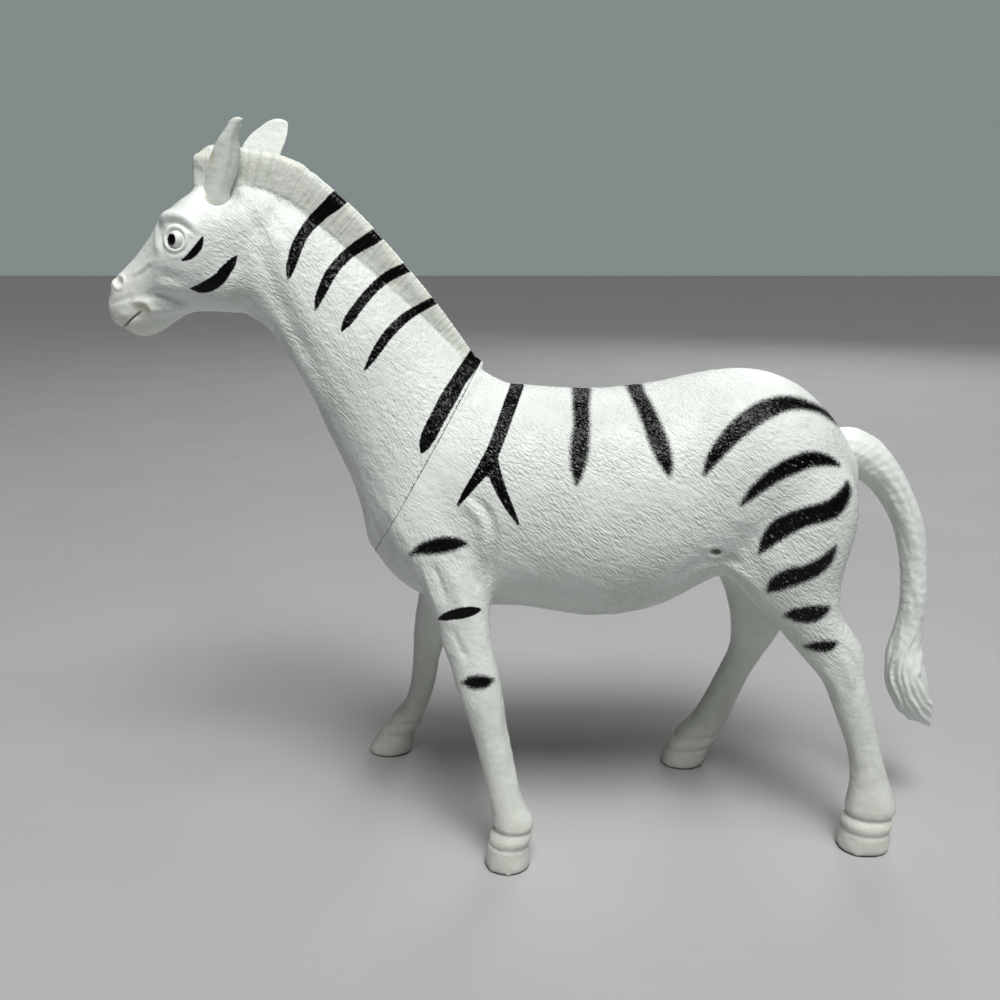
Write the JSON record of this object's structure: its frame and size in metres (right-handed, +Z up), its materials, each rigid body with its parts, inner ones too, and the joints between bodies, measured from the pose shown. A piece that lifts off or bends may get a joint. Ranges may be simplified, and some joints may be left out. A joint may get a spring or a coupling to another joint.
{
  "type": "toy zebra figure",
  "caption": "Hollow moulded toy zebra, standing with legs apart, with a plugged-in neck, tail and ears and painted stripes.",
  "frame": {"origin": "on the floor under the middle of the figure's length and width", "axes": "+X toward the tail, -X toward the muzzle, +Y toward the figure's right side, +Z up; the soles stand on Z = 0"},
  "size_m": [0.2128, 0.071, 0.1791],
  "materials": {
    "body_shell": "satin white vinyl with fine fur lines and black sprayed stripes",
    "head_neck_shell": "satin white vinyl, creamy at mane and muzzle, with black sprayed stripes",
    "tail": "satin grey-white vinyl",
    "left_ear": "satin yellow-white vinyl",
    "right_ear": "satin yellow-white vinyl"
  },
  "bodies": {
    "root": {"body_shell": "body_shell", "head_neck_shell": "head_neck_shell", "tail": "tail", "left_ear": "left_ear", "right_ear": "right_ear"}
  },
  "joints": []
}
